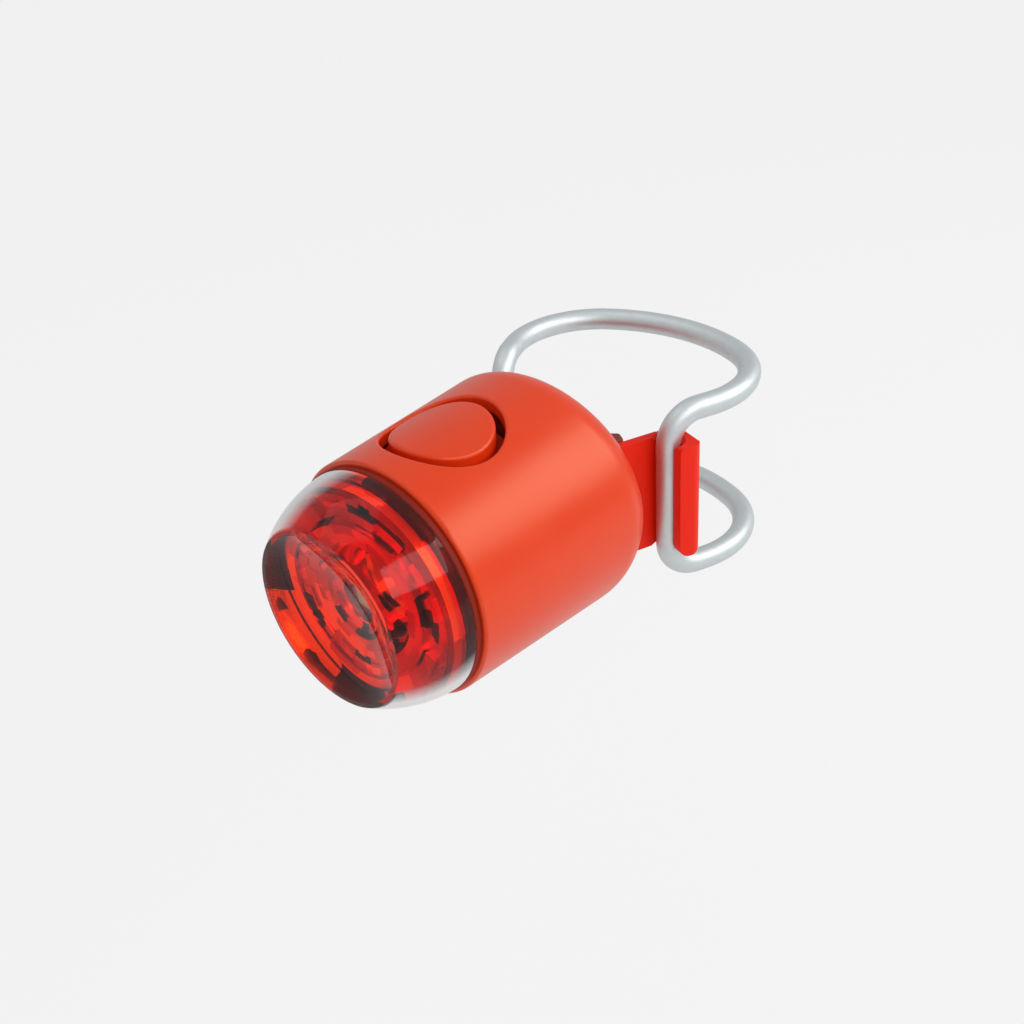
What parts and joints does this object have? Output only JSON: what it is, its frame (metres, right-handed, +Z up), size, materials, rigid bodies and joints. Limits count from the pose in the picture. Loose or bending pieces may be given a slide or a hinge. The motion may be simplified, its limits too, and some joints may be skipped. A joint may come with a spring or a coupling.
{
  "type": "bicycle tail light",
  "caption": "Silicone-covered bicycle tail light: dished clear lens over a red stepped core, press button on top, and rubber straps that hook a wire bail round the seat post",
  "frame": {"origin": "on the seat post's axis, at the middle height of the straps and of the bail", "axes": "+Z up along the seat post, the lens faces -Y, the bail reaches to +Y"},
  "size_m": [0.0382, 0.0714, 0.0335],
  "materials": {
    "cover_silicone": "matte orange-red silicone",
    "strap_silicone": "satin red silicone",
    "saddle_rubber": "matte dark red rubber",
    "clear_lens": "clear moulded lens",
    "clear_optic": "clear moulded optic",
    "red_mirror": "red metallised moulding with steps and facets",
    "dark_plastic": "fine textured black plastic",
    "black_rubber": "black rubber ring",
    "led_face": "phosphor yellow",
    "board_laminate": "green solder mask",
    "chip_black": "black moulded package",
    "connector_nylon": "white nylon",
    "plated_steel": "nickel plated",
    "cell_foil": "foil pouch",
    "foam": "open foam",
    "lead_insulation": "red and black insulation",
    "wire_steel": "satin plated steel wire"
  },
  "bodies": {
    "lamp": {"body_cover": "cover_silicone", "inner_housing": "dark_plastic", "front_lens": "clear_lens", "lens_seal": "saddle_rubber", "reflector": "red_mirror", "beam_optic": "clear_optic", "main_led": "led_face", "led_board": "board_laminate", "board_carrier": "dark_plastic", "main_board": "board_laminate", "board_screws": "plated_steel", "driver_chips": "chip_black", "boost_inductor": "chip_black", "status_led": "led_face", "link_connector": "connector_nylon", "tact_switch": "plated_steel", "plunger_seal": "black_rubber", "usb_socket": "plated_steel", "battery_cell": "cell_foil", "battery_foam": "foam", "battery_leads": "lead_insulation", "rear_saddle": "saddle_rubber", "rear_plate": "dark_plastic", "rear_screws": "plated_steel", "right_strap": "strap_silicone", "left_strap": "strap_silicone"},
    "button": {"power_button": "cover_silicone", "button_plunger": "dark_plastic"},
    "actuator": {"switch_actuator": "connector_nylon"},
    "flap": {"usb_flap": "cover_silicone"},
    "bail": {"wire_bail": "wire_steel"}
  },
  "joints": [
    {"name": "button_press", "type": "slide", "parent": "lamp", "child": "button", "axis": [0, 0, -1], "range_m": [0, 0.0004], "stiffness_N_per_m": 4000},
    {"name": "actuator_press", "type": "slide", "parent": "lamp", "child": "actuator", "axis": [0, 0, -1], "range_m": [0, 0.0004]},
    {"name": "bail_swing", "type": "hinge", "parent": "lamp", "child": "bail", "pos_m": [-0.01422, -0.00837, 0], "axis": [0, 0, 1], "range_deg": [0, 100], "deforming": ["right_strap"]},
    {"name": "usb_flap_open", "type": "hinge", "parent": "lamp", "child": "flap", "pos_m": [-0.01607, -0.0295, 0.003], "axis": [0, -1, 0], "range_deg": [0, 100]}
  ],
  "couplings": [
    {"joint": "actuator_press", "follows": "button_press", "ratio": 1}
  ]
}
